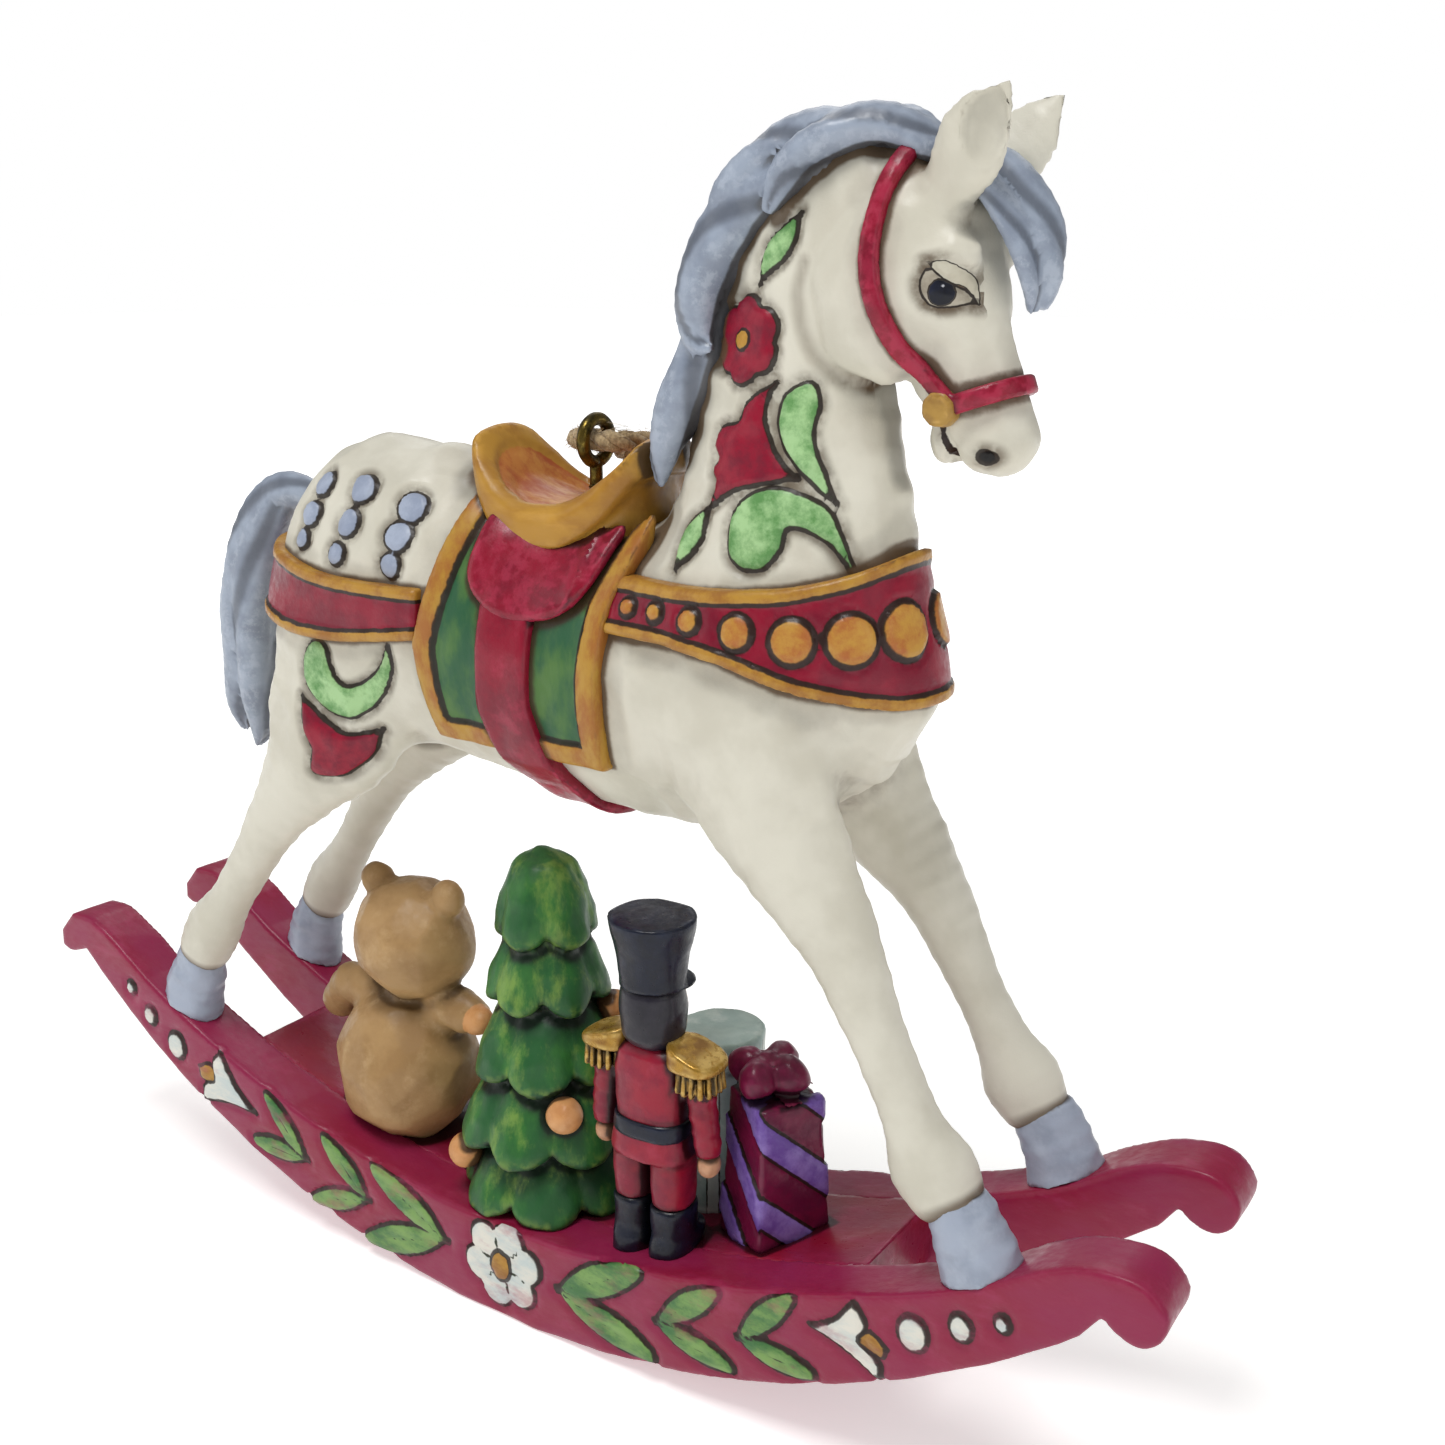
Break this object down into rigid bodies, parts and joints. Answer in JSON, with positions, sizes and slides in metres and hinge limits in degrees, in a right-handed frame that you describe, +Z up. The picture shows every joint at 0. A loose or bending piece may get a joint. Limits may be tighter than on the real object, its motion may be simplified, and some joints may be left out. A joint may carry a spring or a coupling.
{
  "type": "rocking horse ornament",
  "caption": "Carved and painted rocking horse on curved rockers, with toys on the deck between them and a twine loop for hanging.",
  "frame": {"origin": "on the ground, under the middle of the rockers", "axes": "+X towards the horse's nose along the rockers, +Y to the horse's left, +Z up"},
  "size_m": [0.1294, 0.027, 0.1102],
  "materials": {
    "cream_resin": "carved resin, cream paint with a brown wash and a soft gloss",
    "grey_paint": "blue-grey paint, dry-brushed lighter",
    "rocker_red": "deep red paint, satin",
    "crimson_paint": "crimson paint, satin",
    "gold_paint": "ochre gold paint with a brown wash",
    "green_paint": "green paint, dry-brushed",
    "tan_paint": "ochre tan paint, dry-brushed orange",
    "bear_brown": "light brown paint",
    "navy_paint": "navy black paint, satin",
    "hand_peach": "peach paint",
    "purple_paint": "purple and lilac stripes, satin",
    "maroon_paint": "maroon paint, satin",
    "mint_paint": "pale mint paint",
    "bronze": "aged bronze wire",
    "jute": "natural twisted jute"
  },
  "bodies": {
    "figure": {"bear_arm_left": "bear_brown", "bear_arm_right": "bear_brown", "bear_body": "bear_brown", "bear_head": "bear_brown", "bear_leg_left": "bear_brown", "bear_leg_right": "bear_brown", "blanket_border": "gold_paint", "breast_collar": "crimson_paint", "breeching_strap": "crimson_paint", "bridle_rosette_left": "gold_paint", "bridle_rosette_right": "gold_paint", "cheek_strap_left": "crimson_paint", "cheek_strap_right": "crimson_paint", "deck": "rocker_red", "ear_left": "cream_resin", "ear_right": "cream_resin", "fir_tree": "green_paint", "forehoof_left": "grey_paint", "forehoof_right": "grey_paint", "foreleg_left": "cream_resin", "foreleg_right": "cream_resin", "forelock": "grey_paint", "gift_bow": "maroon_paint", "gift_round": "mint_paint", "gift_round_lid": "mint_paint", "gift_striped": "purple_paint", "girth_strap": "crimson_paint", "hindhoof_left": "grey_paint", "hindhoof_right": "grey_paint", "hindleg_left": "cream_resin", "hindleg_right": "cream_resin", "horse_body": "cream_resin", "mane": "grey_paint", "noseband": "crimson_paint", "rocker_left": "rocker_red", "rocker_right": "rocker_red", "saddle_blanket": "green_paint", "saddle_flap_left": "crimson_paint", "saddle_flap_right": "crimson_paint", "saddle_seat": "tan_paint", "screw_eye": "bronze", "soldier_boot_left": "navy_paint", "soldier_boot_right": "navy_paint", "soldier_coat": "crimson_paint", "soldier_epaulette_left": "gold_paint", "soldier_epaulette_right": "gold_paint", "soldier_hand_left": "hand_peach", "soldier_hand_right": "hand_peach", "soldier_hat": "navy_paint", "soldier_head": "navy_paint", "soldier_sleeve_left": "crimson_paint", "soldier_sleeve_right": "crimson_paint", "soldier_trouser_left": "crimson_paint", "soldier_trouser_right": "crimson_paint", "tail": "grey_paint"},
    "twine": {"twine_loop": "jute", "twine_knot": "jute"}
  },
  "joints": [
    {"name": "loop_swing", "type": "hinge", "parent": "figure", "child": "twine", "pos_m": [0.0056, 0, 0.0833], "axis": [1, 0, 0], "range_deg": [0, 160]}
  ]
}
